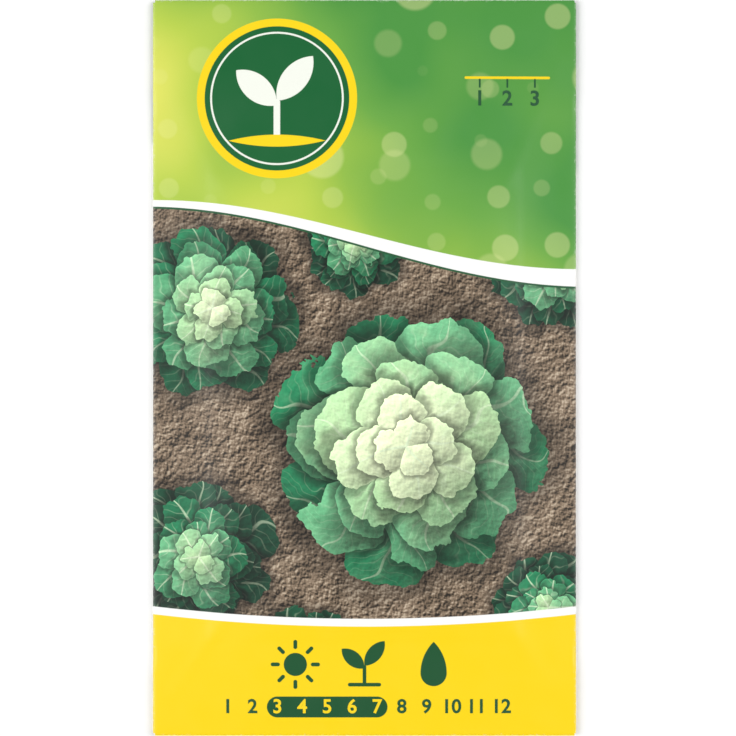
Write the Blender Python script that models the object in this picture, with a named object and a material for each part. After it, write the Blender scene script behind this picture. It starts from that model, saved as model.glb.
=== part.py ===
"""A sealed seed packet: one folded sheet of printed paper round a foil sachet of kohlrabi seeds.

The packet lies on its back. X runs across it, Y towards its top edge and Z up out of the printed front.
The origin is under its middle, on the surface that it lies on. All sizes are in metres.
"""

import math
import random

import bmesh
import bpy

# The packet, from the outside. Joined layers keep a hairline gap where the glue would be.
PACKET_WIDTH = 0.092
PACKET_HEIGHT = 0.160
PAPER = 0.00015
GLUE_GAP = 0.0001
RIM_DEPTH = 0.0008

# Flaps of the blank
TOP_FLAP = 0.018
BOTTOM_FLAP = 0.012
SIDE_FLAP = 0.011
FLAP_INSET = 0.0015
FLAP_TAPER = 0.004
BACK_EDGE_INSET = 0.002
STEP_LENGTH = 0.007

# How the contents push the front up
PILLOW_RISE = 0.0026
SACHET_RISE = 0.0005
SEED_RISE = 0.0011
SACHET_SHOULDER = 0.007
SEED_SPREAD_X = 0.018
SEED_SPREAD_Y = 0.014

# The sachet: a web of foil folded at its lower end and sealed along its three other sides
FOIL = 0.0001
SACHET_WIDTH = 0.066
SACHET_HEIGHT = 0.100
SACHET_Y = -0.008
SACHET_CLEARANCE = 0.00035
SEAL = 0.006
EMPTY_SHARE = 0.5
FULL_BELOW = 0.012
EMPTY_ABOVE = 0.040

# The seeds, in one layer
SEED_RADIUS = 0.00105
SEED_RADIUS_SPREAD = 0.00004
SEED_PITCH = 0.00185
SEED_JITTER = 0.00004
SEED_CLEARANCE = 0.0003
SEEDS_Y = -0.030
SEEDS_HALF_LENGTH = 0.0085
SEEDS_HALF_DEPTH = 0.0052
SEED_RANDOM = 7

# How finely the sheets are divided
FRONT_COLUMNS = 22
BACK_COLUMNS = 12
SIDE_FLAP_COLUMNS = 2
ROWS = 32
FOLD_STEPS = 4
TOP_FLAP_ROWS = 3
BOTTOM_FLAP_ROWS = 2
SACHET_COLUMNS = 14
SACHET_ROWS = 18

# Worked out from the values above. A sheet's shape is that of its middle layer.
LAYER = PAPER + GLUE_GAP
HALF_WIDTH = (PACKET_WIDTH - PAPER) / 2
SIDE_FOLD = RIM_DEPTH / 2
SEAM_FOLD = (RIM_DEPTH - LAYER) / 2
END_FOLD = (RIM_DEPTH + LAYER) / 2
PANEL_X = HALF_WIDTH - SIDE_FOLD
PANEL_Y = (PACKET_HEIGHT - PAPER) / 2 - END_FOLD
SEAM_X = HALF_WIDTH - SEAM_FOLD
LYING_HEIGHT = PAPER / 2
LOWER_WEB = PAPER + SACHET_CLEARANCE + FOIL / 2
SEAL_LAYER = FOIL + GLUE_GAP
SACHET_TOP = SACHET_Y + SACHET_HEIGHT / 2
SACHET_BOTTOM = SACHET_Y - SACHET_HEIGHT / 2 + SEAL_LAYER / 2
SEED_FLOOR = LOWER_WEB + FOIL / 2 + SEED_CLEARANCE


def smooth_step(low, high, value):
    """0 below low, 1 above high, and an even curve between them."""
    share = min(1.0, max(0.0, (value - low) / (high - low)))
    return share * share * (3 - 2 * share)


def plateau(value, half, shoulder):
    """1 inside a strip, 0 outside it, with soft shoulders centred on its two edges."""
    return 1 - smooth_step(half - shoulder / 2, half + shoulder / 2, abs(value))


def spaced(low, high, count):
    return [low + (high - low) * i / count for i in range(count + 1)]


def around(steps):
    """The angles inside a half turn, without its two ends."""
    return [math.pi * i / steps for i in range(1, steps)]


def back_height(y):
    """The back panel lies on the ground in the middle, and steps up onto a flap at each end."""
    flap = BOTTOM_FLAP if y < 0 else TOP_FLAP
    flap_edge = PANEL_Y - flap - 4 * LAYER
    return LYING_HEIGHT + LAYER * smooth_step(flap_edge - STEP_LENGTH, flap_edge, abs(y))


def fullness(x, y):
    """How far the contents push the front up: a broad pillow, the sachet's outline and the seeds."""
    across = 1 - min(1.0, abs(x) / PANEL_X) ** 2
    along = 1 - min(1.0, abs(y) / PANEL_Y) ** 4
    sachet_x = plateau(x, SACHET_WIDTH / 2, SACHET_SHOULDER)
    sachet_y = plateau(y - SACHET_Y, SACHET_HEIGHT / 2, SACHET_SHOULDER)
    seeds = math.exp(-((x / SEED_SPREAD_X) ** 2 + ((y - SEEDS_Y) / SEED_SPREAD_Y) ** 2) / 2)
    return (PILLOW_RISE + SEED_RISE * seeds) * across * along + SACHET_RISE * sachet_x * sachet_y


def front_height(x, y):
    return back_height(y) + RIM_DEPTH + fullness(x, y)


def packet_row(y):
    """Points across the packet: back panel, left fold, front panel, right fold, glue flap."""
    back = back_height(y)
    points = []
    for x in spaced(HALF_WIDTH - BACK_EDGE_INSET, -PANEL_X, BACK_COLUMNS):
        points.append((x, y, back))
    for angle in around(FOLD_STEPS):
        out = SIDE_FOLD * math.sin(angle)
        up = SIDE_FOLD * (1 - math.cos(angle))
        points.append((-PANEL_X - out, y, back + up))
    for x in spaced(-PANEL_X, SEAM_X, FRONT_COLUMNS):
        points.append((x, y, front_height(x, y)))
    for angle in around(FOLD_STEPS):
        out = SEAM_FOLD * math.sin(angle)
        up = SEAM_FOLD * (1 + math.cos(angle))
        points.append((SEAM_X + out, y, back + LAYER + up))
    for x in spaced(SEAM_X, HALF_WIDTH - SIDE_FLAP, SIDE_FLAP_COLUMNS):
        points.append((x, y, back + LAYER))
    return points


def end_flap_rows(side, length, count):
    """Rows of points round the fold at one end of the front and along its flap. side is 1 at the top."""
    columns = spaced(-PANEL_X, SEAM_X, FRONT_COLUMNS)
    rows = []
    for step, angle in enumerate(around(FOLD_STEPS), start=1):
        narrow = 1 - FLAP_INSET / PANEL_X * step / FOLD_STEPS
        y = PANEL_Y + END_FOLD * math.sin(angle)
        z = LYING_HEIGHT + END_FOLD * (1 + math.cos(angle))
        rows.append([(x * narrow, side * y, z) for x in columns])
    for along in spaced(0, length, count):
        narrow = 1 - (FLAP_INSET + FLAP_TAPER * along / length) / PANEL_X
        rows.append([(x * narrow, side * (PANEL_Y - along), LYING_HEIGHT) for x in columns])
    return rows


def swell(x, y):
    """How far the sachet's two webs stand apart between the seals. It fills the packet at the seeds."""
    room = front_height(x, y) - PAPER / 2 - SACHET_CLEARANCE - (LOWER_WEB + SEAL_LAYER + FOIL / 2)
    across = 1 - min(1.0, abs(x) / (SACHET_WIDTH / 2 - SEAL)) ** 4
    along = 1 - min(1.0, abs(y - SACHET_Y) / (SACHET_HEIGHT / 2 - SEAL)) ** 8
    empty = smooth_step(SEEDS_Y + FULL_BELOW, SEEDS_Y + EMPTY_ABOVE, y)
    return room * across * along * (1 - empty * (1 - EMPTY_SHARE))


def sachet_rows():
    """Rows of points down the sachet's lower web, round the fold at its end and up its upper web."""
    inner = SACHET_WIDTH / 2 - SEAL
    columns = [-SACHET_WIDTH / 2, *spaced(-inner, inner, SACHET_COLUMNS), SACHET_WIDTH / 2]
    levels = [SACHET_BOTTOM, *spaced(SACHET_BOTTOM + SEAL, SACHET_TOP - SEAL, SACHET_ROWS), SACHET_TOP]
    rows = [[(x, y, LOWER_WEB) for x in columns] for y in reversed(levels)]
    for angle in around(FOLD_STEPS):
        y = SACHET_BOTTOM - SEAL_LAYER / 2 * math.sin(angle)
        z = LOWER_WEB + SEAL_LAYER / 2 * (1 - math.cos(angle))
        rows.append([(x, y, z) for x in columns])
    rows += [[(x, y, LOWER_WEB + SEAL_LAYER + swell(x, y)) for x in columns] for y in levels]
    return rows


def seed_places():
    """The seeds' centres and radii: packed as closely as they roll together, a little unevenly."""
    chance = random.Random(SEED_RANDOM)
    row_pitch = SEED_PITCH * math.sqrt(3) / 2
    reach = int(SEEDS_HALF_LENGTH / SEED_PITCH) + 2
    for row in range(-reach, reach + 1):
        for column in range(-reach, reach + 1):
            x = (column + row % 2 / 2) * SEED_PITCH
            y = row * row_pitch
            if (x / SEEDS_HALF_LENGTH) ** 2 + (y / SEEDS_HALF_DEPTH) ** 2 > 1:
                continue
            radius = SEED_RADIUS + chance.uniform(-SEED_RADIUS_SPREAD, SEED_RADIUS_SPREAD)
            x += chance.uniform(-SEED_JITTER, SEED_JITTER)
            y += chance.uniform(-SEED_JITTER, SEED_JITTER)
            yield (x, SEEDS_Y + y, SEED_FLOOR + radius), radius


def material(name, colour, roughness, metallic=0.0):
    made = bpy.data.materials.new(name)
    made.use_nodes = True
    shader = made.node_tree.nodes["Principled BSDF"]
    shader.inputs["Base Color"].default_value = (*colour, 1)
    shader.inputs["Roughness"].default_value = roughness
    shader.inputs["Metallic"].default_value = metallic
    return made


def add_object(name, mesh, finish):
    """A named object in the scene, from a bmesh."""
    data = bpy.data.meshes.new(name)
    mesh.to_mesh(data)
    mesh.free()
    data.materials.append(finish)
    made = bpy.data.objects.new(name, data)
    bpy.context.scene.collection.objects.link(made)
    return made


def add_vertices(mesh, rows):
    return [[mesh.verts.new(point) for point in row] for row in rows]


def fill_between(mesh, rows):
    """A face in each square between rows of vertices."""
    for lower, upper in zip(rows, rows[1:]):
        for i in range(len(lower) - 1):
            mesh.faces.new((lower[i], upper[i], upper[i + 1], lower[i + 1]))


def add_sheet(name, mesh, thickness, finish):
    """A folded sheet: its middle layer, given half its thickness to each side."""
    bmesh.ops.recalc_face_normals(mesh, faces=mesh.faces)
    sheet = add_object(name, mesh, finish)
    wall = sheet.modifiers.new("thickness", "SOLIDIFY")
    wall.thickness = thickness
    wall.offset = 0
    wall.use_even_offset = True
    return sheet


def paper_packet():
    """The whole blank, folded up. The two end flaps grow from the front panel's ends."""
    mesh = bmesh.new()
    rows = add_vertices(mesh, [packet_row(y) for y in spaced(-PANEL_Y, PANEL_Y, ROWS)])
    fill_between(mesh, rows)
    first = BACK_COLUMNS + FOLD_STEPS
    front = slice(first, first + FRONT_COLUMNS + 1)
    top_rows = add_vertices(mesh, end_flap_rows(1, TOP_FLAP, TOP_FLAP_ROWS))
    bottom_rows = add_vertices(mesh, end_flap_rows(-1, BOTTOM_FLAP, BOTTOM_FLAP_ROWS))
    fill_between(mesh, [rows[-1][front], *top_rows])
    fill_between(mesh, [*reversed(bottom_rows), rows[0][front]])
    return add_sheet("paper_packet", mesh, PAPER, material("coated_paper", (0.62, 0.74, 0.22), 0.4))


def inner_sachet():
    mesh = bmesh.new()
    fill_between(mesh, add_vertices(mesh, sachet_rows()))
    foil = material("foil_laminate", (0.72, 0.73, 0.74), 0.3, 1.0)
    return add_sheet("inner_sachet", mesh, FOIL, foil)


def kohlrabi_seeds():
    """Round seeds, joined where they touch into one body."""
    skin = material("seed_coat", (0.09, 0.05, 0.035), 0.55)
    seeds = []
    for index, (place, radius) in enumerate(seed_places()):
        mesh = bmesh.new()
        bmesh.ops.create_icosphere(mesh, subdivisions=2, radius=radius)
        seed = add_object("kohlrabi_seeds" if index == 0 else f"seed_{index}", mesh, skin)
        seed.location = place
        seed.rotation_euler = (index * 0.7, index * 1.1, index * 1.9)
        seeds.append(seed)
    heap, *others = seeds
    bunch = bpy.data.collections.new("seeds_to_join")
    bpy.context.scene.collection.children.link(bunch)
    for seed in others:
        bunch.objects.link(seed)
    join = heap.modifiers.new("join", "BOOLEAN")
    join.operation = "UNION"
    join.operand_type = "COLLECTION"
    join.collection = bunch
    bpy.context.view_layer.objects.active = heap
    bpy.ops.object.modifier_apply(modifier=join.name)
    for seed in others:
        bpy.data.objects.remove(seed)
    bpy.data.collections.remove(bunch)
    return heap


def main():
    for leftover in list(bpy.data.objects):
        bpy.data.objects.remove(leftover)
    paper_packet()
    inner_sachet()
    kohlrabi_seeds()


main()
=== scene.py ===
# %% [markdown]
# # A sealed seed packet, dressed over its CAD model
# The real thing is a sheet of coated paper, printed flat, cut, folded and glued round a foil sachet of
# seeds. The CAD model holds its true sizes. Here the paper gets its fine shape and its print.
# The frame comes first: every size below is read from it or set against it.

# %% Load the CAD model as the frame
import math

import bmesh
import bpy
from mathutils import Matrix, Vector


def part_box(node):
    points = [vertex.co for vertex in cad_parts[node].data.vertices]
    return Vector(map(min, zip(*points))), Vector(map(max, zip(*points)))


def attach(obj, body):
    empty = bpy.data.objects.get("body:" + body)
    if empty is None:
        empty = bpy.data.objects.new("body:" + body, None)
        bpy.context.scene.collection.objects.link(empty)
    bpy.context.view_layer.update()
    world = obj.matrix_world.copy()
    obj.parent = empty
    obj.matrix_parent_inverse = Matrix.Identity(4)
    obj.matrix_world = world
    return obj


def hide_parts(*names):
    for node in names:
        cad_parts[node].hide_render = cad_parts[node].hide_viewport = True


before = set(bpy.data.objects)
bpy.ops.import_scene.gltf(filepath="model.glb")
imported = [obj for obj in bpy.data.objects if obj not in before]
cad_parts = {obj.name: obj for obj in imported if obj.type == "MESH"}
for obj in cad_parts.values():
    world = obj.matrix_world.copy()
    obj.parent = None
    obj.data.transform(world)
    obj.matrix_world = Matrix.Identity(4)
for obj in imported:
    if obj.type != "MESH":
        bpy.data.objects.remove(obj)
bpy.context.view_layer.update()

MM = 0.001
packet_low, packet_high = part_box("paper_packet")
WIDTH = round(packet_high.x - packet_low.x, 4)
HEIGHT = round(packet_high.y - packet_low.y, 4)
print(f"packet {WIDTH / MM:.0f} x {HEIGHT / MM:.0f} mm, {packet_high.z / MM:.1f} mm thick over the seeds")

# %% [markdown]
# ## How the sheet is laid out
# The paper is modelled as its outer face, and gets its thickness inwards at the end. So every fold below
# has its outer radius. Joined layers lie a hairline apart, where the glue would be.

# %% Sizes of the sheet
PAPER = 0.15 * MM
LAYER = PAPER + 0.1 * MM
RIM = 0.95 * MM
SIDE_RADIUS = RIM / 2
SEAM_RADIUS = (RIM - LAYER) / 2
END_RADIUS = (RIM + LAYER) / 2
LEFT, RIGHT = -WIDTH / 2 + SIDE_RADIUS, WIDTH / 2 - SEAM_RADIUS
END = HEIGHT / 2 - END_RADIUS
BACK_EDGE = WIDTH / 2 - 2 * MM
GLUE_FLAP = 11 * MM
FLAPS = {1: 18 * MM, -1: 12 * MM}
FLAP_INSET, FLAP_TAPER = 1.5 * MM, 4 * MM
CELL = 0.7 * MM
FOLD_STEPS = 6

# %% [markdown]
# ## Picking edges and points in code
# A person clicks on the edge to extrude. A script selects by place instead: this helper selects the
# points of the open mesh that pass a test, with the edges and faces between them.

# %% Select by place
TOUCH = 0.02 * MM


def start_clean():
    """Leaves edit mode if need be, with nothing selected."""
    if bpy.context.mode != "OBJECT":
        bpy.ops.object.mode_set(mode="OBJECT")
    bpy.ops.object.select_all(action="DESELECT")


def pick(piece, test):
    """In edit mode, selects the points where test(place) holds. Says how many there are."""
    mesh = bmesh.from_edit_mesh(piece.data)
    bpy.ops.mesh.select_all(action="DESELECT")
    for point in mesh.verts:
        point.select = test(point.co)
    mesh.select_flush_mode()
    bmesh.update_edit_mesh(piece.data)
    return sum(point.select for point in mesh.verts)


def near(a, b):
    return abs(a - b) < TOUCH


# %% [markdown]
# ## The front panel
# It is a flat sheet to begin with, so a grid is the right primitive. The cells are small enough to carry
# the bumps that the seeds press into the paper.

# %% The front as a fine grid
start_clean()
columns = round((RIGHT - LEFT) / CELL)
rows = round(2 * END / CELL)
bpy.ops.mesh.primitive_grid_add(x_subdivisions=columns, y_subdivisions=rows, size=1)
paper = bpy.context.object
paper.name = "packet_paper"
paper.scale = (RIGHT - LEFT, 2 * END, 1)
paper.location = ((LEFT + RIGHT) / 2, 0, RIM)
bpy.ops.object.transform_apply(location=True, rotation=False, scale=True)
print(f"front panel: {columns} x {rows} cells")

# %% [markdown]
# ## The side folds, the back and the glue flap
# Spin turns an edge round an axis and leaves a surface behind it, which is just what a fold is. Each long
# edge of the front is spun half a turn, and then extruded flat: to the back panel on one side and to
# the narrow glue flap on the other.

# %% Fold the long sides under


def extrude_flat(shift, steps):
    for _ in range(steps):
        bpy.ops.mesh.extrude_region_move(TRANSFORM_OT_translate={"value": [s / steps for s in shift]})


bpy.ops.object.mode_set(mode="EDIT")
bpy.ops.mesh.select_mode(type="VERT")
pick(paper, lambda p: near(p.x, LEFT))
bpy.ops.mesh.spin(steps=FOLD_STEPS, angle=math.pi, center=(LEFT, 0, RIM / 2), axis=(0, 1, 0))
extrude_flat((BACK_EDGE - LEFT, 0, 0), 24)

pick(paper, lambda p: near(p.x, RIGHT) and near(p.z, RIM))
bpy.ops.mesh.spin(steps=FOLD_STEPS, angle=-math.pi, center=(RIGHT, 0, RIM - SEAM_RADIUS), axis=(0, 1, 0))
extrude_flat((WIDTH / 2 - GLUE_FLAP - RIGHT, 0, 0), 3)

# %% [markdown]
# ## The end flaps
# The top and bottom flaps fold over the back, so the back has to step up by one layer of paper there.
# The lift follows a soft curve, because paper drapes over an edge and doesn't break there.

# %% Lift the ends, then fold the flaps over the back
DRAPE = 6 * MM
FLAP_STEPS = 10


def smooth_step(low, high, value):
    share = min(1.0, max(0.0, (value - low) / (high - low)))
    return share * share * (3 - 2 * share)


def lift(y):
    edge = END - FLAPS[1 if y > 0 else -1] - LAYER
    return LAYER * smooth_step(edge - DRAPE, edge, abs(y))


def on_front(p):
    return near(p.z, RIM + lift(p.y)) and LEFT - TOUCH < p.x < RIGHT + TOUCH and abs(p.y) < END + TOUCH


mesh = bmesh.from_edit_mesh(paper.data)
for point in mesh.verts:
    point.co.z += lift(point.co.y)
bmesh.update_edit_mesh(paper.data)

for side, length in FLAPS.items():
    pick(paper, lambda p: near(p.y, side * END) and on_front(p))
    centre = (0, side * END, END_RADIUS)
    bpy.ops.mesh.spin(steps=FOLD_STEPS, angle=side * math.pi, center=centre, axis=(1, 0, 0))
    half = RIGHT
    for step in range(FLAP_STEPS + 1):
        narrower = FLAP_INSET if step == 0 else FLAP_TAPER / FLAP_STEPS
        if step:
            extrude_flat((0, -side * length / FLAP_STEPS, 0), 1)
        bpy.ops.transform.resize(value=((half - narrower) / half, 1, 1), center_override=(0, 0, 0))
        half -= narrower

pick(paper, lambda p: True)
bpy.ops.mesh.normals_make_consistent(inside=False)
mesh = bmesh.from_edit_mesh(paper.data)
if max(mesh.faces, key=lambda f: f.calc_center_median().z).normal.z < 0:
    bpy.ops.mesh.flip_normals()
bpy.ops.object.mode_set(mode="OBJECT")
print(f"folded sheet: {len(paper.data.vertices)} points")

# %% [markdown]
# ## The pillow
# The contents push the front up, and the CAD solid already has that shape. So the flat front is lifted
# clear and projected straight down onto the solid with Shrinkwrap. Smooth then takes out the facets that
# it picks up. Both act through a vertex group, as painted weights would.

# %% Lay the front on the CAD model
EDGE_HELD = 5 * MM
LIFT_CLEAR = 10 * MM


def weigh(piece, name, weight_at):
    """Gives the piece a vertex group whose weight at each point is weight_at(place), if above 0."""
    group = piece.vertex_groups.new(name=name)
    for point in piece.data.vertices:
        weight = weight_at(point.co)
        if weight > 0.001:
            group.add([point.index], min(1.0, weight), "REPLACE")
    return name


def finish_with(piece, kind, **settings):
    """Adds a modifier with its settings and applies it."""
    start_clean()
    bpy.context.view_layer.objects.active = piece
    piece.select_set(True)
    made = piece.modifiers.new(kind.lower(), kind)
    for name, value in settings.items():
        setattr(made, name, value)
    bpy.ops.object.modifier_apply(modifier=made.name)


def inside(p):
    """0 on the front's border, 1 from EDGE_HELD inwards."""
    return smooth_step(0, EDGE_HELD, min(p.x - LEFT, RIGHT - p.x, END - abs(p.y)))


front = weigh(paper, "front", lambda p: 1.0 if on_front(p) else 0.0)
held = weigh(paper, "held", lambda p: inside(p) if on_front(p) else 0.0)
front_index = paper.vertex_groups["front"].index
for point in paper.data.vertices:
    if any(g.group == front_index for g in point.groups):
        point.co.z += LIFT_CLEAR
finish_with(
    paper,
    "SHRINKWRAP",
    target=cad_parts["paper_packet"],
    vertex_group=front,
    wrap_method="PROJECT",
    use_project_z=True,
    use_positive_direction=False,
    use_negative_direction=True,
)
finish_with(paper, "SMOOTH", vertex_group=held, factor=0.5, iterations=24)
print(f"highest point {max(p.co.z for p in paper.data.vertices) / MM:.2f} mm")

# %% [markdown]
# ## What shows through the paper
# Paper doesn't stretch. Over a full sachet it buckles softly, shows the sachet's sealed border as a faint
# step, and takes a small dimple from each seed. Displace does all of these, one at a time, each with its
# own weights, so that each can be turned up or down by a single height.

# %% Press the contents through the paper
sachet_low, sachet_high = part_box("inner_sachet")
seeds_low, seeds_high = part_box("kohlrabi_seeds")
SEED_PITCH = 1.85 * MM
CREASES = [
    ((-31, -55), (-44, -74), 1.6),
    ((31, -55), (44, -75), 1.8),
    ((-31, 40), (-43, 61), 1.8),
    ((31, 40), (42, 66), 1.5),
    ((-10, 49), (-16, 74), 2.2),
    ((15, 48), (20, 70), 2.4),
    ((9, -60), (13, -75), 2.0),
    ((-34, -18), (-45, -21), 1.6),
    ((34, -6), (45, -2), 1.8),
    ((34, -38), (45, -43), 1.6),
]


def within(p, low, high, soft):
    """1 inside the box low..high, falling to 0 over soft outside it, with rounded corners."""
    out_x = max(low.x - p.x, p.x - high.x, 0)
    out_y = max(low.y - p.y, p.y - high.y, 0)
    return 1 - smooth_step(0, soft, math.hypot(out_x, out_y))


def crease_weight(p):
    """Soft ridges along CREASES, strongest at the first end of each."""
    best = 0.0
    for start, end, width in CREASES:
        a, b = Vector(start) * MM, Vector(end) * MM
        run = b - a
        along = (Vector((p.x, p.y)) - a).dot(run) / run.length_squared
        if -0.3 < along < 1.1:
            nearest = a + run * min(1.0, max(0.0, along))
            off = (Vector((p.x, p.y)) - nearest).length / (width * MM)
            best = max(best, math.exp(-off * off) * (1 - 0.75 * min(1.0, max(0.0, along))))
    return best


def texture(name, kind, **settings):
    made = bpy.data.textures.new(name, kind)
    for key, value in settings.items():
        setattr(made, key, value)
    return made


buckles = texture("buckles", "CLOUDS", noise_scale=16 * MM, noise_depth=1)
dimples = texture("dimples", "VORONOI", noise_scale=SEED_PITCH, distance_metric="DISTANCE")
sealed = weigh(paper, "sealed", lambda p: inside(p) * within(p, sachet_low, sachet_high, 1.6 * MM))
seeded = weigh(paper, "seeded", lambda p: inside(p) * within(p, seeds_low, seeds_high, 4 * MM))
creased = weigh(paper, "creased", lambda p: inside(p) * crease_weight(p))
for group in (sealed, seeded, creased):
    index = paper.vertex_groups[group].index
    under = [p.index for p in paper.data.vertices if not any(g.group == front_index for g in p.groups)]
    paper.vertex_groups[index].remove(under)
finish_with(paper, "DISPLACE", vertex_group=sealed, direction="Z", mid_level=0, strength=0.08 * MM)
finish_with(paper, "DISPLACE", vertex_group=creased, direction="Z", mid_level=0, strength=0.12 * MM)
finish_with(
    paper, "DISPLACE", vertex_group=held, direction="Z", texture=buckles, mid_level=0.65, strength=0.3 * MM
)
finish_with(
    paper, "DISPLACE", vertex_group=seeded, direction="Z", texture=dimples, mid_level=0.5, strength=-0.2 * MM
)
finish_with(paper, "SMOOTH", vertex_group=held, factor=0.5, iterations=2)

# %% [markdown]
# ## Inks
# The packet is printed in four-colour offset and varnished. Every colour below is written as the sRGB code
# that a colour picker shows, and one function turns it into the linear values that shaders count in.
# One more function adds a node, because a picture made of nodes needs hundreds of them.

# %% Colour and node helpers


def ink(code):
    """Linear colour of an sRGB hex code."""
    parts = [int(code[i : i + 2], 16) / 255 for i in (1, 3, 5)]
    return [c / 12.92 if c <= 0.04045 else ((c + 0.055) / 1.055) ** 2.4 for c in parts] + [1.0]


def add(tree, kind, *inputs, stops=(), **settings):
    """Adds a node with its settings and links. Returns its first open output.

    A word after the kind is its operation. Inputs fill the open sockets in order, None skips one, and
    stops are a colour ramp's places and inks.
    """
    kind, _, operation = kind.partition(" ")
    node = tree.nodes.new("ShaderNode" + kind)
    if operation:
        node.operation = operation
    for name, value in settings.items():
        setattr(node, name, value)
    for socket, value in zip([s for s in node.inputs if s.enabled], inputs):
        if isinstance(value, bpy.types.NodeSocket):
            tree.links.new(value, socket)
        elif value is not None:
            socket.default_value = value
    for number, (place, code) in enumerate(stops):
        elements = node.color_ramp.elements
        stop = elements[number] if number < 2 else elements.new(place)
        stop.position = place
        stop.color = ink(code)
    return next(s for s in node.outputs if s.enabled)


def blend(tree, share, under, over, kind="RGBA"):
    return add(tree, "Mix", share, under, over, data_type=kind)


# %% [markdown]
# ## Light inside a printed picture
# A photograph of soil or leaves is full of small lights and shades. A node tree can't see its own slopes, but
# it can measure a height twice, here and a little nearer to the lamp, and the difference is the light.

# %% Relief in print
SUN = (-0.6, 0.8, 0.0)


def lit(tree, height_at, place, reach):
    """How much the height that height_at(place) gives falls towards the sun, over reach mm."""
    ahead = add(tree, "VectorMath ADD", place, [reach * s for s in SUN])
    return add(tree, "Math SUBTRACT", height_at(place), height_at(ahead))


# %% [markdown]
# ## The soil of the picture
# Garden soil is crumbs on clods on ridges. Noise with many octaves gives the crumbs, and Voronoi cells the
# rounded clods, which are 4 mm wide here because the picture is a tenth of life size.

# %% Print the soil


def soil_height(tree, place):
    bent = add(tree, "TexNoise", place, 0.5, 2).node.outputs["Color"]
    bent = add(tree, "VectorMath MULTIPLY_ADD", bent, (0.9, 0.9, 0), place)
    clods = add(tree, "TexVoronoi", bent, 0.24, 0, voronoi_dimensions="2D", feature="SMOOTH_F1")
    crumbs = add(tree, "TexVoronoi", bent, 0.8, 1, 0.6, voronoi_dimensions="2D")
    height = add(tree, "Math MULTIPLY_ADD", clods, 2.4, crumbs)
    grit = add(tree, "TexNoise", place, 0.9, 4, 0.65)
    return add(tree, "Math MULTIPLY_ADD", height, -0.45, grit)


def soil_print(tree, place):
    light = lit(tree, lambda p: soil_height(tree, p), place, 0.4)
    patchy = add(tree, "TexNoise", place, 0.07, 3, 0.6)
    tone = add(tree, "Math MULTIPLY_ADD", light, 1.15, 0.25)
    tone = add(tree, "Math MULTIPLY_ADD", patchy, 0.5, tone)
    return add(
        tree,
        "ValToRGB",
        tone,
        stops=[(0.16, "#251D15"), (0.86, "#C9B79F"), (0.32, "#554839"), (0.48, "#7F6C58"), (0.66, "#9A8670")],
    )


# %% [markdown]
# ## The leafy heads of the picture
# Seen from above, a leafy head is rings of leaves round a heart. In polar coordinates each ring is one saw
# wave: it says how far a point is from the nearest midrib, and that gives the leaf's outline. The rings are
# drawn from the outside in, each one over the last, with its shadow on what lies below.

# %% Where the heads stand, and their rings
# x, y and radius in mm, then a turn in radians and how dark the leaves are
HEADS = [
    (9, -17, 31, 0.0, -0.12),
    (-33, 13, 19, 2.0, 0.1),
    (-36, -41, 17, 4.1, 0.3),
    (41, 22, 14, 1.1, 0.2),
    (40, -52, 13, 3.3, 0.35),
    (-2, 27, 12, 5.2, 0.25),
    (-12, -64, 13, 0.7, 0.3),
]
RINGS = [(7, 1.0), (7, 0.9), (6, 0.78), (5, 0.64), (5, 0.5), (4, 0.36), (3, 0.22)]


def nearest_head(tree, place):
    """The centre of the head that the place belongs to, and (radius, turn, dark) of that head."""
    best, centre, head = 99.0, (0, 0, 0), (1, 0, 0)
    for x, y, radius, turn, dark in HEADS:
        away = add(tree, "VectorMath DISTANCE", place, (x, y, 0))
        away = add(tree, "Math DIVIDE", away, radius)
        closer = add(tree, "Math LESS_THAN", away, best)
        best = add(tree, "Math MINIMUM", away, best)
        centre = blend(tree, closer, centre, (x, y, 0), "VECTOR")
        head = blend(tree, closer, head, (radius, turn, dark), "VECTOR")
    return centre, head


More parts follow.
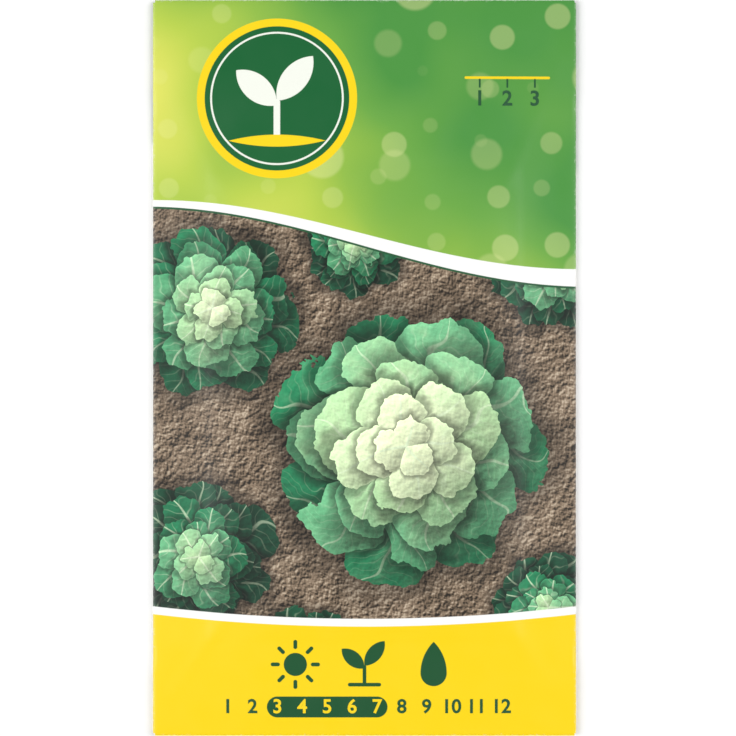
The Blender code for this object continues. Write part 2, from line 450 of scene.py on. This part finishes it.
def heads_print(tree, place, ground):
    """Draws the heads over the ground's colour."""
    flat = add(tree, "VectorMath MULTIPLY", place, (1, 1, 0))
    centre, head = nearest_head(tree, flat)
    radius, turn, dark = add(tree, "SeparateXYZ", head).node.outputs
    local = add(tree, "VectorMath SUBTRACT", flat, centre)
    out = add(tree, "VectorMath LENGTH", local)
    share = add(tree, "Math DIVIDE", out, radius)
    x, y, _ = add(tree, "SeparateXYZ", local).node.outputs
    angle = add(tree, "Math ARCTAN2", y, x)
    sway = add(tree, "TexNoise", flat, 0.07, 1)
    angle = add(tree, "Math MULTIPLY_ADD", sway, 0.9, angle)
    angle = add(tree, "Math ADD", angle, turn)
    ruffle = add(tree, "TexNoise", flat, 0.38, 2, 0.5)
    ruffle = add(tree, "Math MULTIPLY_ADD", ruffle, 3.4, -1.7)
    ruffle = add(tree, "Math DIVIDE", ruffle, radius)

    leaf, ring, shade, drawn = (0, 2, 0), (0, 1, 0), 1.0, 0.0
    for number, (leaves, reach) in enumerate(RINGS):
        arc = 2 * math.pi / leaves
        turned = add(tree, "Math MULTIPLY_ADD", angle, 1 / arc, number * 0.618)
        cell = add(tree, "Math FLOOR", turned)
        off = add(tree, "Math SUBTRACT", turned, cell)
        off = add(tree, "Math SUBTRACT", off, 0.5)
        which = add(tree, "Math FLOORED_MODULO", cell, leaves)
        luck = add(tree, "CombineXYZ", which, number, turn)
        luck = add(tree, "TexWhiteNoise", luck)
        side = add(tree, "Math POWER", add(tree, "Math ABSOLUTE", off), 2.6)
        side = add(tree, "Math MULTIPLY_ADD", side, -2.1, 1)
        long = add(tree, "Math MULTIPLY_ADD", luck, 0.16 * reach, 0.9 * reach)
        tip = add(tree, "Math MULTIPLY_ADD", side, long, ruffle)
        along = add(tree, "Math DIVIDE", share, tip)
        on = add(tree, "Math LESS_THAN", along, 1)
        near_edge = add(tree, "MapRange", along, 1.0, 1.3, 0.38, 1.0, interpolation_type="SMOOTHSTEP")
        below = add(tree, "Math MULTIPLY", shade, near_edge)
        shade = blend(tree, on, below, 1.0, "FLOAT")
        off = add(tree, "Math MULTIPLY", off, arc)
        leaf = blend(tree, on, leaf, add(tree, "CombineXYZ", off, along, luck), "VECTOR")
        ring = blend(tree, on, ring, (number / (len(RINGS) - 1), reach, 2 / arc), "VECTOR")
        drawn = add(tree, "Math MAXIMUM", on, drawn)

    off, along, luck = add(tree, "SeparateXYZ", leaf).node.outputs
    inner, reach, wide = add(tree, "SeparateXYZ", ring).node.outputs
    across = add(tree, "Math MULTIPLY", out, add(tree, "Math SINE", off))
    apart = add(tree, "Math ABSOLUTE", across)
    slim = add(tree, "Math MULTIPLY_ADD", along, -0.95, 1)
    slim = add(tree, "Math MULTIPLY", slim, add(tree, "Math MULTIPLY", radius, reach))
    rib = add(tree, "Math DIVIDE", apart, add(tree, "Math MULTIPLY_ADD", slim, 0.045, 0.1))
    rib = add(tree, "MapRange", rib, 0.5, 1.3, 1, 0, interpolation_type="SMOOTHSTEP")

    bent = add(tree, "TexNoise", flat, 0.25, 1)
    veins = add(tree, "Math MULTIPLY_ADD", apart, -1.0, out)
    veins = add(tree, "Math MULTIPLY_ADD", bent, 5.0, veins)
    veins = add(tree, "Math MULTIPLY", veins, 0.42)
    veins = add(tree, "Math PINGPONG", veins, 0.5)
    veins = add(tree, "MapRange", veins, 0.0, 0.12, 1, 0, interpolation_type="SMOOTHSTEP")
    fade = add(tree, "MapRange", along, 0.75, 1.0, 0.5, 0.1)
    veins = add(tree, "Math MULTIPLY", veins, fade)
    pale = add(tree, "Math MAXIMUM", rib, veins)

    tone = add(tree, "Math MULTIPLY_ADD", inner, 0.8, 0.1)
    tone = add(tree, "Math SUBTRACT", tone, dark)
    tone = add(tree, "Math MULTIPLY_ADD", luck, 0.14, tone)
    tone = add(tree, "Math MULTIPLY_ADD", along, -0.18, tone)
    patchy = add(tree, "TexNoise", flat, 0.18, 3)
    tone = add(tree, "Math MULTIPLY_ADD", patchy, 0.25, tone)
    colour = add(
        tree,
        "ValToRGB",
        tone,
        stops=[(0.0, "#124A32"), (1.0, "#E4F0C4"), (0.22, "#1E7A50"), (0.45, "#6FB483"), (0.7, "#B3D8A2")],
    )
    paler = add(tree, "Math MULTIPLY_ADD", inner, 0.35, 0.35)
    colour = blend(tree, add(tree, "Math MULTIPLY", pale, paler), colour, ink("#DDEFCB"))

    outward = add(tree, "VectorMath NORMALIZE", local)
    facing = add(tree, "VectorMath DOT_PRODUCT", outward, SUN)
    sideways = add(tree, "VectorMath CROSS_PRODUCT", outward, SUN)
    sideways = add(tree, "SeparateXYZ", sideways).node.outputs[2]
    bend = add(tree, "MapRange", along, 0.35, 1.0, -0.1, 0.42)
    light = add(tree, "Math MULTIPLY", facing, bend)
    cup = add(tree, "Math MULTIPLY", off, wide)
    cup = add(tree, "Math MULTIPLY", cup, sideways)
    light = add(tree, "Math MULTIPLY_ADD", cup, 0.45, light)
    wrinkles = lit(tree, lambda p: add(tree, "TexNoise", p, 0.5, 3, 0.6), flat, 0.5)
    light = add(tree, "Math MULTIPLY_ADD", wrinkles, 1.3, light)
    brim = add(tree, "MapRange", along, 0.9, 1.0, 1.0, 1.16, interpolation_type="SMOOTHSTEP")
    light = add(tree, "Math ADD", light, brim)
    light = add(tree, "Math MULTIPLY", light, shade)
    lit_leaf = add(tree, "VectorMath SCALE", colour, light)
    dim = add(tree, "Math MULTIPLY_ADD", shade, 0.85, 0.15)
    ground = add(tree, "VectorMath SCALE", ground, dim)
    return blend(tree, drawn, ground, lit_leaf)


# %% [markdown]
# ## The whole front
# Offset printing lays down flat areas, so the front is built up as a printer's proof would be: picture, then
# white bands, the header and the foot over it. Each border is a formula of x, and sharp to a tenth of a
# millimetre, as print is.

# %% Print the front
SHARP = 0.06


def zone(tree, height, border):
    """1 where the height is above the border, with an edge as sharp as print."""
    above = add(tree, "Math SUBTRACT", height, border)
    return add(tree, "MapRange", above, -SHARP, SHARP, 0, 1)


def header_print(tree, place):
    x, y, _ = add(tree, "SeparateXYZ", place).node.outputs
    soft = add(tree, "TexNoise", place, 0.022, 1.5, 0.5)
    slope = add(tree, "Math MULTIPLY_ADD", x, 0.006, -0.15)
    slope = add(tree, "Math MULTIPLY_ADD", y, 0.006, slope)
    tone = add(tree, "Math MULTIPLY_ADD", soft, 1.1, slope)
    colour = add(
        tree,
        "ValToRGB",
        tone,
        stops=[(0.3, "#E6E662"), (0.95, "#4A963E"), (0.48, "#BBD34B"), (0.62, "#92BE45"), (0.78, "#6BAA43")],
    )
    for size, strength in ((0.05, 0.3), (0.085, 0.25)):
        cells = add(tree, "TexVoronoi", place, size, 0, 0.5, 2, 0.6, voronoi_dimensions="2D")
        chance = add(tree, "SeparateXYZ", cells.node.outputs["Color"]).node.outputs[0]
        rim = add(tree, "Math MULTIPLY_ADD", chance, 0.17, 0.1)
        spot = add(tree, "Math SUBTRACT", rim, cells)
        spot = add(tree, "MapRange", spot, 0.0, 0.05, 0, strength, interpolation_type="SMOOTHSTEP")
        spot = add(tree, "Math MULTIPLY", spot, chance)
        colour = blend(tree, spot, colour, ink("#F6F7B0"))
    return colour


# %% [markdown]
# ## Flat emblems
# Signs such as a sprout, a sun or a drop are made of few flat shapes: discs, bars with round ends, and leaves,
# which are the lens that two discs share. Each is a mask that is 1 inside, so masks join by the greater
# value and ink is laid on through them.

# %% Shapes for emblems


def disc(tree, place, centre, radius):
    return zone(tree, radius, add(tree, "VectorMath DISTANCE", place, (*centre, 0)))


def bar(tree, place, start, end, half_width):
    """A straight bar with round ends."""
    run = Vector((*end, 0)) - Vector((*start, 0))
    from_start = add(tree, "VectorMath SUBTRACT", place, (*start, 0))
    share = add(tree, "VectorMath DOT_PRODUCT", from_start, run / run.length_squared)
    share = add(tree, "Math MINIMUM", add(tree, "Math MAXIMUM", share, 0), 1)
    nearest = add(tree, "VectorMath SCALE", run, share)
    return zone(tree, half_width, add(tree, "VectorMath DISTANCE", from_start, nearest))


def leaf(tree, place, base, tip, width):
    """The lens shared by two discs, from base to tip."""
    base, tip = Vector((*base, 0)), Vector((*tip, 0))
    half = (tip - base).length / 2
    radius = (half**2 + (width / 2) ** 2) / width
    aside = (tip - base).normalized().cross(Vector((0, 0, 1))) * (radius - width / 2)
    middle = (base + tip) / 2
    sides = [disc(tree, place, (middle + aside * s).xy, radius) for s in (1, -1)]
    return add(tree, "Math MINIMUM", *sides)


def union(tree, *masks):
    whole = masks[0]
    for mask in masks[1:]:
        whole = add(tree, "Math MAXIMUM", whole, mask)
    return whole


def sprout(tree, place, x, y, size):
    """A seedling with two leaves. Its height is about size."""
    s = size / 10
    return union(
        tree,
        bar(tree, place, (x, y - 4.6 * s), (x, y - 0.5 * s), 0.42 * s),
        leaf(tree, place, (x, y - 0.9 * s), (x - 5.2 * s, y + 3.6 * s), 3.3 * s),
        leaf(tree, place, (x, y - 0.3 * s), (x + 4.6 * s, y + 5.4 * s), 3.3 * s),
    )


def sun(tree, place, x, y, size):
    """A disc with eight rays. The rays are one bar, repeated by folding the angle."""
    local = add(tree, "VectorMath SUBTRACT", place, (x, y, 0))
    local_x, local_y, _ = add(tree, "SeparateXYZ", local).node.outputs
    angle = add(tree, "Math ARCTAN2", local_y, local_x)
    angle = add(tree, "Math PINGPONG", angle, math.pi / 8)
    out = add(tree, "VectorMath LENGTH", local)
    along = add(tree, "Math MULTIPLY", out, add(tree, "Math COSINE", angle))
    across = add(tree, "Math MULTIPLY", out, add(tree, "Math SINE", angle))
    ray_place = add(tree, "CombineXYZ", along, across)
    ray = bar(tree, ray_place, (size * 0.36, 0), (size * 0.47, 0), size * 0.04)
    return union(tree, disc(tree, local, (0, 0), size * 0.24), ray)


def drop(tree, place, x, y, size):
    """A disc with the upper half of a leaf on it."""
    middle = y - size * 0.2
    height = add(tree, "SeparateXYZ", place).node.outputs[1]
    tip = leaf(tree, place, (x, middle - size * 0.72), (x, middle + size * 0.72), size * 0.6)
    tip = add(tree, "Math MULTIPLY", tip, zone(tree, height, middle))
    return union(tree, disc(tree, place, (x, middle), size * 0.3), tip)


# %% [markdown]
# ## Emblems and the sowing months on the front
# In the header sit a round badge with a seedling and a small depth gauge. In the foot are three signs
# for light, sowing and water, and a row of month numbers with the sowing months on a green bar.

# %% Place the emblems on the front
DEEP_GREEN = "#12532C"
PURE_YELLOW = "#FDDA00"
BADGE = (-19, 58.5)
GAUGE = (31, 63)
SIGNS_Y, MONTHS_Y = -64.3, -73.6
MONTH_PITCH = 5.4
SOWING = (3, 7)


def month_x(month):
    return (month - 6.5) * MONTH_PITCH


def front_emblems(tree, place, colour):
    place = add(tree, "VectorMath MULTIPLY", place, (1, 1, 0))
    x, y = BADGE
    for radius, code in ((17.4, PURE_YELLOW), (15.7, "#00622D"), (14.5, "#F7FAEF"), (14.1, "#00622D")):
        colour = blend(tree, disc(tree, place, BADGE, radius), colour, ink(code))
    colour = blend(tree, sprout(tree, place, x, y, 17), colour, ink("#F7FAEF"))
    ground = leaf(tree, place, (x - 10.5, y - 9.2), (x + 10.5, y - 9.2), 2.6)
    colour = blend(tree, ground, colour, ink(PURE_YELLOW))

    x, y = GAUGE
    rule = bar(tree, place, (x - 9, y), (x + 9, y), 0.28)
    colour = blend(tree, rule, colour, ink(PURE_YELLOW))
    ticks = [bar(tree, place, (x + 6 * step, y - 0.4), (x + 6 * step, y - 2), 0.2) for step in (-1, 0, 1)]
    ticks = union(tree, *ticks)
    signs = union(
        tree,
        ticks,
        sun(tree, place, -15, SIGNS_Y, 10.5),
        sprout(tree, place, 0, SIGNS_Y, 9.5),
        bar(tree, place, (-3.2, SIGNS_Y - 4.4), (3.2, SIGNS_Y - 4.4), 0.4),
        drop(tree, place, 15, SIGNS_Y, 9.5),
        bar(tree, place, (month_x(SOWING[0]), MONTHS_Y), (month_x(SOWING[1]), MONTHS_Y), 2.3),
    )
    return blend(tree, signs, colour, ink(DEEP_GREEN))


# %% The front, layer by layer


def front_print(tree, place):
    x, y, _ = add(tree, "SeparateXYZ", place).node.outputs
    wave = add(tree, "Math SINE", add(tree, "Math MULTIPLY", x, math.pi / (WIDTH / MM)))
    divider = add(tree, "Math MULTIPLY_ADD", wave, -7.5, 29)
    thick = add(tree, "Math MULTIPLY_ADD", x, 0.026, 2.6)
    lower = add(tree, "Math SUBTRACT", divider, thick)
    line = add(tree, "Math SUBTRACT", lower, 0.45)
    bow = add(tree, "Math MULTIPLY", x, x)
    foot = add(tree, "Math MULTIPLY_ADD", bow, 2.5 / 46**2, -56)
    foot_rule = add(tree, "Math ADD", foot, 1.7)

    colour = heads_print(tree, place, soil_print(tree, place))
    colour = blend(tree, zone(tree, y, line), colour, ink("#1F5A35"))
    colour = blend(tree, zone(tree, y, lower), colour, ink("#FDFDFB"))
    colour = blend(tree, zone(tree, y, divider), colour, header_print(tree, place))
    colour = blend(tree, zone(tree, foot_rule, y), colour, ink("#FDFDFB"))
    colour = blend(tree, zone(tree, foot, y), colour, ink(PURE_YELLOW))
    return front_emblems(tree, place, colour)


# %% [markdown]
# ## The back and the flaps
# The back carries what a gardener looks up: lines of reading, which are plain grey strokes here, and a chart
# of the year. The sheet is printed flat, so on a flap the front's colours run on past the fold: the place on
# the flap is mirrored in the fold line before the colour is looked up.

# %% Print the back and the flaps
CHART_TOP, CHART_ROW, CHART_PITCH = -34, 5.2, 6.0
CHART = [((3, 7), "#F2C200"), ((4, 8), "#5E9F3C"), ((6, 11), "#B5713A")]
FOLD_Y = HEIGHT / 2 / MM


def chart_x(month):
    """Where a month's column stands on the back, seen from behind."""
    return (month - 6.5) * CHART_PITCH


def reading_lines(tree, place, low, high, left, right):
    """Grey strokes in rows of 2.3 mm, broken into lengths by chance, between the given borders."""
    x, y, _ = add(tree, "SeparateXYZ", place).node.outputs
    row = add(tree, "Math DIVIDE", y, 2.3)
    stroke = add(tree, "Math PINGPONG", row, 0.5)
    stroke = add(tree, "MapRange", stroke, 0.33, 0.38, 0, 1)
    row = add(tree, "Math FLOOR", row)
    words = add(tree, "Math MULTIPLY_ADD", row, 37.3, add(tree, "Math MULTIPLY", x, 0.55))
    words = add(tree, "TexVoronoi", words, 1, voronoi_dimensions="1D", feature="DISTANCE_TO_EDGE")
    words = add(tree, "MapRange", words, 0.1, 0.14, 0, 1)
    ragged = add(tree, "TexWhiteNoise", add(tree, "CombineXYZ", row, low))
    end = add(tree, "Math MULTIPLY_ADD", ragged, -9, right)
    masks = (words, zone(tree, x, left), zone(tree, end, x), zone(tree, y, low), zone(tree, high, y))
    for mask in masks:
        stroke = add(tree, "Math MINIMUM", stroke, mask)
    return stroke


def back_print(tree, place):
    place = add(tree, "VectorMath MULTIPLY", place, (-1, 1, 0))
    x, y, _ = add(tree, "SeparateXYZ", place).node.outputs
    colour = blend(tree, zone(tree, y, 47), ink("#FCFAF0"), ink("#FDFDFB"))
    wave = add(tree, "Math SINE", add(tree, "Math MULTIPLY", x, math.pi / (WIDTH / MM)))
    divider = add(tree, "Math MULTIPLY_ADD", wave, 3.5, 47)
    rule = add(tree, "Math SUBTRACT", divider, 1.6)
    colour = blend(tree, zone(tree, y, rule), colour, ink("#8DBB42"))
    colour = blend(tree, zone(tree, y, divider), colour, ink("#1F6B3A"))
    emblems = union(tree, sun(tree, place, -30, 54, 8), drop(tree, place, 30, 54, 7.5))
    emblems = union(tree, emblems, sprout(tree, place, 0, 55, 9))
    colour = blend(tree, emblems, colour, ink("#FCFAF0"))

    strokes = union(
        tree,
        reading_lines(tree, place, 17, 40, -38, 38),
        reading_lines(tree, place, -5, 12, -38, 0),
        reading_lines(tree, place, -28, -10, -38, 38),
    )
    colour = blend(tree, strokes, colour, ink("#6E7B70"))
    seedling = union(
        tree,
        sprout(tree, place, 22, 4, 12),
        bar(tree, place, (10, -1.6), (34, -1.6), 0.3),
        *[bar(tree, place, (10, -1.6 + 4 * i), (11.6 + i % 2, -1.6 + 4 * i), 0.18) for i in range(4)],
    )
    colour = blend(tree, seedling, colour, ink("#1F6B3A"))

    for number, ((first, last), code) in enumerate(CHART):
        level = CHART_TOP - CHART_ROW * (number + 0.5)
        span = bar(tree, place, (chart_x(first), level), (chart_x(last), level), 1.5)
        colour = blend(tree, span, colour, ink(code))
    edge = CHART_PITCH / 2
    low = CHART_TOP - CHART_ROW * len(CHART)
    lines = [
        bar(tree, place, (chart_x(m) - edge, CHART_TOP + 5), (chart_x(m) - edge, low), 0.1)
        for m in range(1, 14)
    ]
    for level in [CHART_TOP + 5] + [CHART_TOP - CHART_ROW * n for n in range(len(CHART) + 1)]:
        lines.append(bar(tree, place, (chart_x(1) - edge, level), (chart_x(12) + edge, level), 0.1))
    return blend(tree, union(tree, *lines), colour, ink("#1F6B3A"))


def flap_print(tree, place):
    x, y, _ = add(tree, "SeparateXYZ", place).node.outputs
    past_fold = add(tree, "CombineXYZ", x, add(tree, "Math SUBTRACT", 2 * FOLD_Y, y))
    top = header_print(tree, past_fold)
    return blend(tree, add(tree, "Math LESS_THAN", y, 0), top, ink(PURE_YELLOW))


# %% [markdown]
# ## Varnished paper
# The sheet is coated paper of 100 grams with a thin dispersion varnish: smooth, a little glossy, with a
# faint orange peel from the roller. Its gloss comes from the varnish, with the usual IOR of 1.5.

# %% The paper's finishes


def varnished_paper(material, print_at):
    """Four-colour offset print on coated paper; print_at(tree, place) gives the ink's colour."""
    material.use_nodes = True
    tree = material.node_tree
    shader = tree.nodes["Principled BSDF"]
    where = add(tree, "TexCoord").node.outputs["Object"]
    place = add(tree, "VectorMath SCALE", where, 1 / MM)
    colour = print_at(tree, place)
    x, y, _ = add(tree, "SeparateXYZ", place).node.outputs
    from_side = add(tree, "Math SUBTRACT", WIDTH / 2 / MM, add(tree, "Math ABSOLUTE", x))
    from_end = add(tree, "Math SUBTRACT", HEIGHT / 2 / MM, add(tree, "Math ABSOLUTE", y))
    from_fold = add(tree, "Math MINIMUM", from_side, from_end)
    scuffs = add(tree, "TexNoise", place, 0.9, 5, 0.7)
    scuffs = add(tree, "Math MULTIPLY_ADD", from_fold, -0.3, scuffs)
    worn = add(tree, "MapRange", scuffs, 0.44, 0.66, 0, 0.35)
    colour = blend(tree, worn, colour, ink("#F3F1E9"))
    tree.links.new(colour, shader.inputs["Base Color"])
    peel = add(tree, "TexNoise", place, 1.4, 2)
    rough = add(tree, "MapRange", add(tree, "TexNoise", place, 0.15, 3), 0.3, 0.7, 0.34, 0.42)
    tree.links.new(rough, shader.inputs["Roughness"])
    shader.inputs["IOR"].default_value = 1.5
    bump = add(tree, "Bump", 0.12, 0.02 * MM, None, peel)
    tree.links.new(bump, shader.inputs["Normal"])

def bare_paper(material):
    """The sheet's inner side and cut edges: uncoated woodfree paper, matt, with fibres about 1 mm long."""
    material.use_nodes = True
    tree = material.node_tree
    shader = tree.nodes["Principled BSDF"]
    where = add(tree, "TexCoord").node.outputs["Object"]
    place = add(tree, "VectorMath SCALE", where, 1 / MM)
    fibres = add(tree, "TexNoise", place, 1.1, 6, 0.75, None, 1.2)
    colour = add(tree, "ValToRGB", fibres, stops=[(0.3, "#E6E1D5"), (0.7, "#F8F5EC")])
    tree.links.new(colour, shader.inputs["Base Color"])
    rough = add(tree, "MapRange", fibres, 0.3, 0.7, 0.86, 0.96)
    tree.links.new(rough, shader.inputs["Roughness"])
    tree.links.new(add(tree, "Bump", 0.3, 0.03 * MM, None, fibres), shader.inputs["Normal"])


# %% [markdown]
# ## Thickness, and which face gets which finish
# The sheet is printed on one side only. Solidify makes the inner side and the cut edges, and gives them
# the finish that follows in the list: bare paper.

# %% Give the paper its thickness
PRINT_FRONT, PRINT_BACK, PRINT_FLAP = range(3)
for name in ("front_print", "back_print", "flap_print", "bare_a", "bare_b", "bare_c"):
    paper.data.materials.append(bpy.data.materials.new(name))
for number, print_at in enumerate((front_print, back_print, flap_print)):
    varnished_paper(paper.data.materials[number], print_at)
for material in paper.data.materials[3:]:
    bare_paper(material)
for face in paper.data.polygons:
    at = face.center
    if at.z > RIM / 2 + lift(at.y) / 2:
        face.material_index = PRINT_FRONT
    elif abs(at.y) > END - FLAPS[1 if at.y > 0 else -1] and at.z < LAYER * 0.3:
        face.material_index = PRINT_FLAP
    else:
        face.material_index = PRINT_BACK
finish_with(
    paper,
    "SOLIDIFY",
    thickness=PAPER,
    offset=-1,
    use_even_offset=True,
    material_offset=3,
    material_offset_rim=3,
)
start_clean()
bpy.context.view_layer.objects.active = paper
paper.select_set(True)
bpy.ops.object.shade_smooth_by_angle(angle=math.radians(40))
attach(paper, "root")
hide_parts("paper_packet")
print(f"{paper.name}: {len(paper.data.polygons)} faces")

# %% [markdown]
# ## What the packet holds
# The foil sachet and the seeds keep their CAD meshes, whose shape is right. They only need finishes: rolled
# aluminium foil on plastic film, with the fine ribs of the heat seal round three sides, and seed coats.

# %% Finish the sachet and the seeds
SEAL = 6
RIB_PITCH = 1.1


def foil_laminate(material):
    """Aluminium foil laminated on film: bright, creased where it was handled, ribbed in its seals. Its colour
    carries painted shade in the crease hollows and painted light on the crease ridges.
    """
    material.use_nodes = True
    tree = material.node_tree
    shader = tree.nodes["Principled BSDF"]
    where = add(tree, "TexCoord").node.outputs["Object"]
    place = add(tree, "VectorMath SCALE", where, 1 / MM)
    x, y, _ = add(tree, "SeparateXYZ", place).node.outputs
    from_side = add(tree, "Math SUBTRACT", sachet_high.x / MM, add(tree, "Math ABSOLUTE", x))
    from_top = add(tree, "Math SUBTRACT", sachet_high.y / MM, y)
    from_edge = add(tree, "Math MINIMUM", from_side, from_top)
    sealed = zone(tree, SEAL, from_edge)
    ribs = add(tree, "Math SINE", add(tree, "Math MULTIPLY", y, 2 * math.pi / RIB_PITCH))
    ribs = add(tree, "Math MULTIPLY", ribs, sealed)
    creases = add(tree, "TexNoise", place, 0.09, 4, 0.6, None, 0.8)
    creases = add(tree, "Math PINGPONG", add(tree, "Math MULTIPLY", creases, 4), 0.5)
    relief = add(tree, "Math MULTIPLY_ADD", ribs, 0.4, creases)
    tree.links.new(add(tree, "Bump", 0.6, 0.15 * MM, None, relief), shader.inputs["Normal"])
    # Painted shade and light: the foil's colour follows the crease relief, darker in the hollows and lighter on
    # the ridges.
    tone = add(tree, "ValToRGB", creases, stops=[(0.0, "#B4B8BB"), (0.5, "#D3D6D8")])
    tree.links.new(tone, shader.inputs["Base Color"])
    rough = add(tree, "MapRange", add(tree, "TexNoise", place, 0.4, 3), 0.3, 0.7, 0.2, 0.34)
    tree.links.new(rough, shader.inputs["Roughness"])
    shader.inputs["Metallic"].default_value = 1.0


def seed_coat(material):
    """Ripe brassica seed: a brown coat with a fine net of pits, some seeds redder and some nearly black."""
    material.use_nodes = True
    tree = material.node_tree
    shader = tree.nodes["Principled BSDF"]
    where = add(tree, "TexCoord").node.outputs["Object"]
    place = add(tree, "VectorMath SCALE", where, 1 / MM)
    ripeness = add(tree, "TexVoronoi", place, 0.5).node.outputs["Color"]
    ripeness = add(tree, "SeparateXYZ", ripeness).node.outputs[0]
    stops = [(0.0, "#2B1A12"), (1.0, "#7A4526"), (0.5, "#4C2A19")]
    tree.links.new(add(tree, "ValToRGB", ripeness, stops=stops), shader.inputs["Base Color"])
    pits = add(tree, "TexVoronoi", place, 6.0, feature="DISTANCE_TO_EDGE")
    tree.links.new(add(tree, "Bump", 0.4, 0.03 * MM, None, pits), shader.inputs["Normal"])
    rough = add(tree, "MapRange", pits, 0.0, 0.3, 0.62, 0.45)
    tree.links.new(rough, shader.inputs["Roughness"])


for node, finish in (("inner_sachet", foil_laminate), ("kohlrabi_seeds", seed_coat)):
    material = bpy.data.materials.new(finish.__name__)
    finish(material)
    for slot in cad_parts[node].material_slots:
        slot.material = material
    print(f"{node}: {len(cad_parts[node].data.polygons)} triangles, finished as {material.name}")

# %% [markdown]
# ## Printed numbers
# The only figures on the packet are plain numbers: months, and the marks of the depth gauge. A text object
# gives their outline. Made a mesh and laid on the paper with Shrinkwrap, they keep a crisp edge that nodes
# can't draw, and get the thickness of a layer of screen ink, drawn thick enough to stand clear.

# %% Lay numbers on the paper
INK_FILM = 0.03 * MM


def number_mesh(text, x, y, height, mirrored=False):
    """A flat number centred on x, y (mm), well above the paper, or below it if mirrored."""
    start_clean()
    bpy.ops.object.text_add(location=(0, 0, 0))
    made = bpy.context.object
    made.data.body = text
    made.data.size = height * MM / 0.7
    made.data.offset = 0.03 * height * MM
    made.data.align_x = "CENTER"
    made.data.align_y = "CENTER"
    made.data.resolution_u = 4
    bpy.ops.object.convert(target="MESH")
    if mirrored:
        made.rotation_euler = (0, math.pi, 0)
    made.location = (-x * MM if mirrored else x * MM, y * MM, (-1 if mirrored else 1) * LIFT_CLEAR)
    bpy.ops.object.transform_apply(location=True, rotation=True, scale=True)
    return made


def lay_numbers(name, numbers, code, mirrored=False):
    """Joins numbers into one piece and lays it on the paper as a film of ink."""
    made = [number_mesh(*number, mirrored=mirrored) for number in numbers]
    start_clean()
    for one in made:
        one.select_set(True)
    piece = made[0]
    bpy.context.view_layer.objects.active = piece
    bpy.ops.object.join()
    piece.name = name
    finish_with(
        piece,
        "SHRINKWRAP",
        target=paper,
        wrap_method="PROJECT",
        use_project_z=True,
        use_positive_direction=mirrored,
        use_negative_direction=not mirrored,
        offset=INK_FILM,
    )
    finish_with(piece, "SOLIDIFY", thickness=INK_FILM, offset=0)
    bpy.ops.object.mode_set(mode="EDIT")
    bpy.ops.mesh.select_all(action="SELECT")
    bpy.ops.mesh.normals_make_consistent(inside=False)
    bpy.ops.object.mode_set(mode="OBJECT")
    bpy.ops.object.shade_flat()
    material = bpy.data.materials.new(name + "_ink")
    varnished_paper(material, lambda tree, place: screen_ink(tree, place, code))
    piece.data.materials.append(material)
    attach(piece, "root")
    print(f"{name}: {len(piece.data.polygons)} faces")
    return piece


def screen_ink(tree, place, code):
    """One opaque ink, a little thinner here and there, as it dries on the varnish."""
    mottle = add(tree, "TexNoise", place, 2.0, 3)
    mottle = add(tree, "MapRange", mottle, 0.3, 0.7, 0.0, 0.02)
    return blend(tree, mottle, ink(code), ink("#F3F1E9"))


months = range(1, 13)
on_bar = [m for m in months if SOWING[0] <= m <= SOWING[1]]
green_numbers = [(str(m), month_x(m), MONTHS_Y, 3.0) for m in months if m not in on_bar]
green_numbers += [(str(n), GAUGE[0] + 6 * (n - 2), GAUGE[1] - 4.6, 3.2) for n in (1, 2, 3)]
lay_numbers("front_numbers_green", green_numbers, DEEP_GREEN)
lay_numbers("front_numbers_yellow", [(str(m), month_x(m), MONTHS_Y, 3.0) for m in on_bar], PURE_YELLOW)
back_numbers = [(str(m), chart_x(m), CHART_TOP + 2.5, 2.6) for m in months]
lay_numbers("back_numbers", back_numbers, "#1F6B3A", mirrored=True)

# %% Camera
CAMERA_SHIFT = 0.76 * MM
bpy.ops.object.camera_add()
camera = bpy.context.object
camera.data.lens = 150
distance = HEIGHT * camera.data.lens / camera.data.sensor_width
camera.location = (CAMERA_SHIFT, 0, distance + RIM)
bpy.context.scene.camera = camera

# %% Floor and light
FLOOR_RADIUS = 0.9
start_clean()
bpy.ops.mesh.primitive_circle_add(vertices=96, radius=FLOOR_RADIUS, fill_type="NGON", location=(0, 0, -0.1 * MM))
floor = bpy.context.object
floor.name = "floor"
floor.data.materials.append(bpy.data.materials.new("white_card"))
floor.data.materials[0].use_nodes = True
card = floor.data.materials[0].node_tree.nodes["Principled BSDF"]
card.inputs["Base Color"].default_value = (1, 1, 1, 1)
card.inputs["Roughness"].default_value = 1.0
card.inputs["Specular IOR Level"].default_value = 0.0

world = bpy.data.worlds.new("studio")
bpy.context.scene.world = world
world.use_nodes = True
sky = world.node_tree
height = add(sky, "SeparateXYZ", add(sky, "TexCoord")).node.outputs[2]
brightness = add(sky, "MapRange", height, 0.02, 0.25, 1.0, 0.3, interpolation_type="SMOOTHSTEP")
sky.links.new(brightness, sky.nodes["Background"].inputs["Strength"])
sky.nodes["Background"].inputs["Color"].default_value = (1, 1, 1, 1)
bpy.context.scene.view_settings.view_transform = "Standard"
for x, y, z, energy in ((-1.8, -0.25, 1.6, 42), (1.8, 0.35, 1.6, 38)):
    bpy.ops.object.light_add(type="AREA", location=(x, y, z))
    lamp = bpy.context.object
    lamp.data.energy = energy
    lamp.data.size = 2.0
    lamp.visible_camera = False
    lamp.rotation_euler = (Vector((0, 0, 0)) - lamp.location).to_track_quat("-Z", "Y").to_euler()
